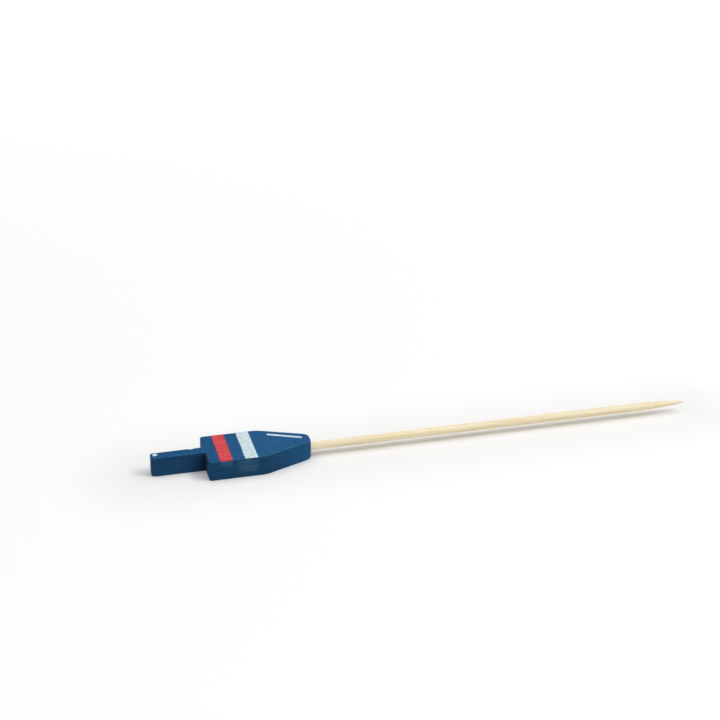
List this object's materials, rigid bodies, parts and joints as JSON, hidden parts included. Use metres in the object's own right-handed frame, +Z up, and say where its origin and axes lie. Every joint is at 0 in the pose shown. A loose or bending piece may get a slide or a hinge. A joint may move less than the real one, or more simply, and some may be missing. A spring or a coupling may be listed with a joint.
{
  "type": "cocktail pick",
  "caption": "Flat painted wooden head with a thin handle, a striped body and a tapered nose, glued on a round bamboo stick that is ground to a long point.",
  "frame": {"origin": "midway along the pick and across the head, on the surface that it lies on", "axes": "+X from the handle to the point, +Y towards the side with the thin printed line, +Z up from the head's underside"},
  "size_m": [0.16, 0.015, 0.006],
  "materials": {
    "painted_wood": "satin navy paint with faint grain under it",
    "bamboo": "plain sanded bamboo",
    "glue": "dried wood glue with paint run into it",
    "red_print": "printed satin paint",
    "pale_print": "printed satin paint, finely speckled",
    "white_print": "printed satin paint"
  },
  "bodies": {
    "root": {"head": "painted_wood", "stick": "bamboo", "glue": "glue", "red_band": "red_print", "pale_band": "pale_print", "edge_line": "white_print", "handle_dot": "white_print"}
  },
  "joints": []
}
